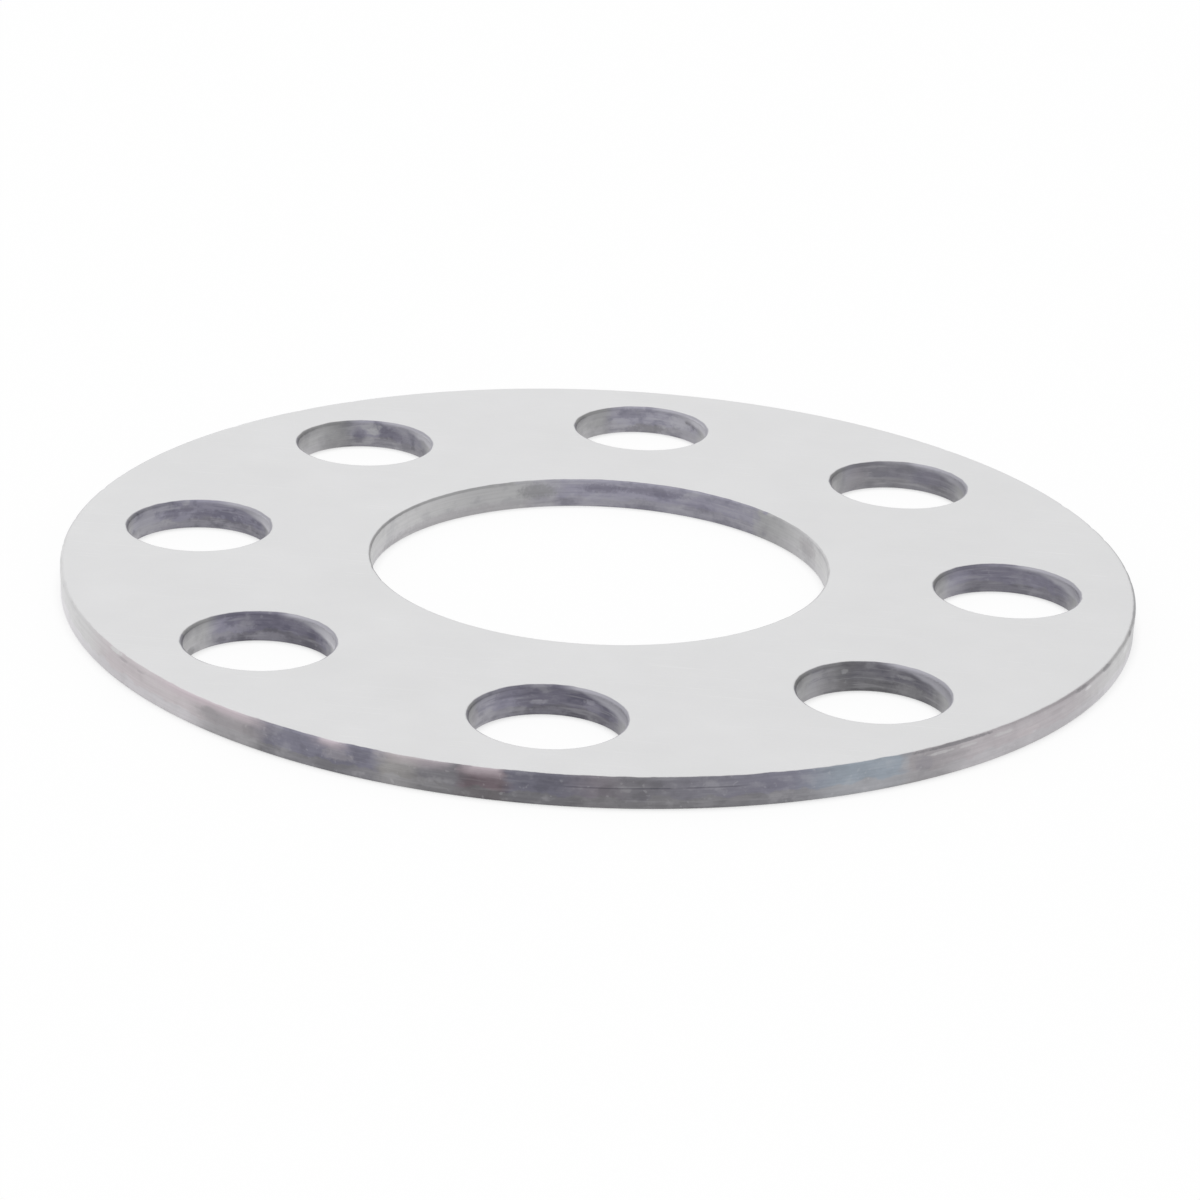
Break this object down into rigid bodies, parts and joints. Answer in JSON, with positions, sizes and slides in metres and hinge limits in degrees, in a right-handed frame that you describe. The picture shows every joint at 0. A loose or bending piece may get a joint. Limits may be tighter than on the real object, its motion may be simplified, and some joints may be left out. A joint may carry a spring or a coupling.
{
  "type": "wheel spacer",
  "caption": "Flat steel ring plate with a hub bore and a circle of stud holes, fitted between a wheel hub and a wheel to move the wheel outward.",
  "frame": {"origin": "on the ring's axis, in the plane of the lower face that goes against the hub", "axes": "+Z along the ring's axis, from the hub face to the wheel face; +X through the centre of the first stud hole"},
  "size_m": [0.1312, 0.1312, 0.0037],
  "materials": {
    "bare_steel": "fine satin faces, darker cut edges with a faint heat tint"
  },
  "bodies": {
    "root": {"spacer_plate": "bare_steel"}
  },
  "joints": []
}
